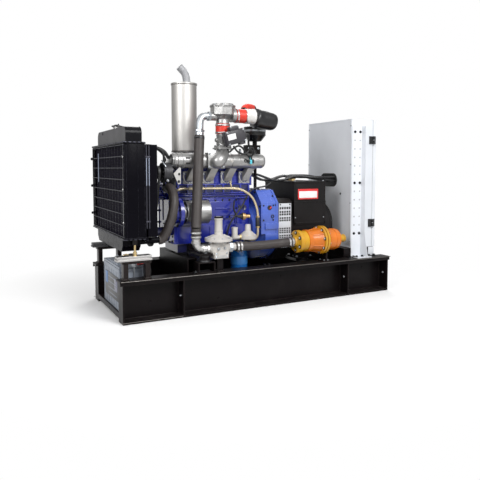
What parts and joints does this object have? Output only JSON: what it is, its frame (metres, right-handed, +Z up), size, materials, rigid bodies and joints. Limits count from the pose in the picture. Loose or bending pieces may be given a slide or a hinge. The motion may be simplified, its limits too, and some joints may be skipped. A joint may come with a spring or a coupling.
{
  "type": "gas engine generating set",
  "caption": "Open gas engine generating set on a steel skid, with radiator, gas line, generator and hinged control cabinet.",
  "frame": {"origin": "on the floor under the middle of the skid, on the underside of its middle cross member", "axes": "+X along the skid from the radiator to the control cabinet, +Y from the gas line's side to the silencer's side, +Z up"},
  "size_m": [2.042, 0.824, 1.6311],
  "materials": {
    "frame_black": "gloss black with a brown cast",
    "radiator_black": "satin black",
    "radiator_fins": "dark fins",
    "engine_blue": "gloss blue",
    "engine_dark": "dark blue",
    "filter_blue": "gloss blue",
    "cast_silver": "as cast",
    "silver_paint": "silver heat paint",
    "zinc": "galvanised",
    "yellow_zinc": "yellow plated steel",
    "regulator_beige": "champagne",
    "arrester_orange": "gloss orange and yellow",
    "hose_grey": "grey-brown rubber",
    "hose_red": "red silicone",
    "black_rubber": "black rubber",
    "black_plastic": "matt",
    "generator_black": "satin black",
    "vent_steel": "black with perforated silver sides",
    "cabinet_white": "white powder coat",
    "gear_zinc": "galvanised plate",
    "battery_grey": "grey case",
    "exhaust_iron": "heat browned",
    "actuator_grey": "dark grey",
    "adapter_white": "white"
  },
  "bodies": {
    "set": {"skid_near_beam": "frame_black", "skid_far_beam": "frame_black", "skid_cross_members": "frame_black", "battery_tray": "frame_black", "cabinet_plinth": "frame_black", "radiator_core": "radiator_fins", "radiator_frame": "radiator_black", "radiator_top_tank": "radiator_black", "radiator_bottom_tank": "radiator_black", "radiator_guard": "radiator_black", "filler_cap": "black_plastic", "radiator_mounts": "frame_black", "fan_shroud": "radiator_black", "drive_belt": "black_rubber", "charging_dynamo": "cast_silver", "water_pump": "engine_blue", "battery": "battery_grey", "engine_block": "engine_blue", "cylinder_head": "engine_blue", "valve_cover": "engine_blue", "oil_sump": "engine_dark", "gear_case": "engine_blue", "drive_housing": "cast_silver", "engine_mounts": "frame_black", "intake_manifold": "cast_silver", "intake_elbow": "cast_silver", "throttle_body": "cast_silver", "throttle_actuator": "actuator_grey", "charge_hoses": "hose_red", "gas_mixer": "cast_silver", "filter_adapter": "adapter_white", "air_filter": "black_plastic", "air_cleaner_bowl": "black_plastic", "cleaner_post": "frame_black", "exhaust_manifold": "exhaust_iron", "silencer": "silver_paint", "tail_pipe": "silver_paint", "coolant_rail": "yellow_zinc", "oil_filter": "filter_blue", "flywheel_housing": "engine_blue", "lower_coolant_hose": "hose_grey", "upper_coolant_hose": "hose_grey", "gas_riser_hose": "hose_grey", "gas_upper_elbow": "zinc", "gas_lower_elbow": "zinc", "gas_regulator": "regulator_beige", "zero_regulator": "regulator_beige", "gas_supply_hose": "hose_grey", "flame_arrester": "arrester_orange", "generator_barrel": "generator_black", "generator_drive_end": "vent_steel", "generator_supports": "frame_black", "terminal_box": "generator_black", "power_cables": "black_rubber", "cabinet_shell": "cabinet_white", "cabinet_gear": "gear_zinc", "cabinet_stands": "cabinet_white"},
    "fan": {"fan": "black_plastic"},
    "crank": {"crank_pulley": "generator_black"},
    "door": {"cabinet_door": "cabinet_white"}
  },
  "joints": [
    {"name": "crank_spin", "type": "hinge", "parent": "set", "child": "crank", "pos_m": [-0.708, 0, 0.49], "axis": [1, 0, 0], "continuous": true},
    {"name": "fan_spin", "type": "hinge", "parent": "set", "child": "fan", "pos_m": [-0.718, 0, 0.76], "axis": [1, 0, 0], "continuous": true},
    {"name": "cabinet_door_swing", "type": "hinge", "parent": "set", "child": "door", "pos_m": [0.9195, -0.283, 0.795], "axis": [0, 0, -1], "range_deg": [0, 115]}
  ],
  "couplings": [
    {"joint": "fan_spin", "follows": "crank_spin", "ratio": 1.2}
  ]
}
